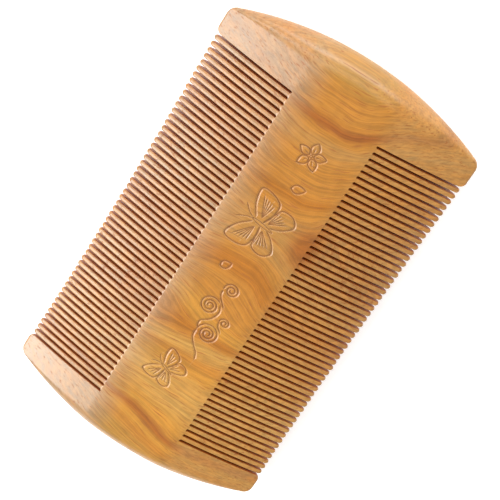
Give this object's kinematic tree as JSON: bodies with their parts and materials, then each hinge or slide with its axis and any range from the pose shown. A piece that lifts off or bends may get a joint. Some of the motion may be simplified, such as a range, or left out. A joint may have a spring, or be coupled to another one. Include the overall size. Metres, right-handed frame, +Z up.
{
  "type": "beard comb",
  "caption": "Double-sided wooden beard comb with a flat middle, curved end guards and a row of fine straight teeth along each long side.",
  "frame": {"origin": "middle of the comb, on the surface that its back face rests on", "axes": "+Z up out of the front face, +Y along the comb's length towards the head guard, +X across the comb towards the tips of the right teeth"},
  "size_m": [0.055, 0.0982, 0.0112],
  "materials": {
    "sandalwood": "polished, unpainted, fine straight grain across the comb"
  },
  "bodies": {
    "root": {"centre_panel": "sandalwood", "head_guard": "sandalwood", "tail_guard": "sandalwood", "left_teeth": "sandalwood", "right_teeth": "sandalwood"}
  },
  "joints": []
}
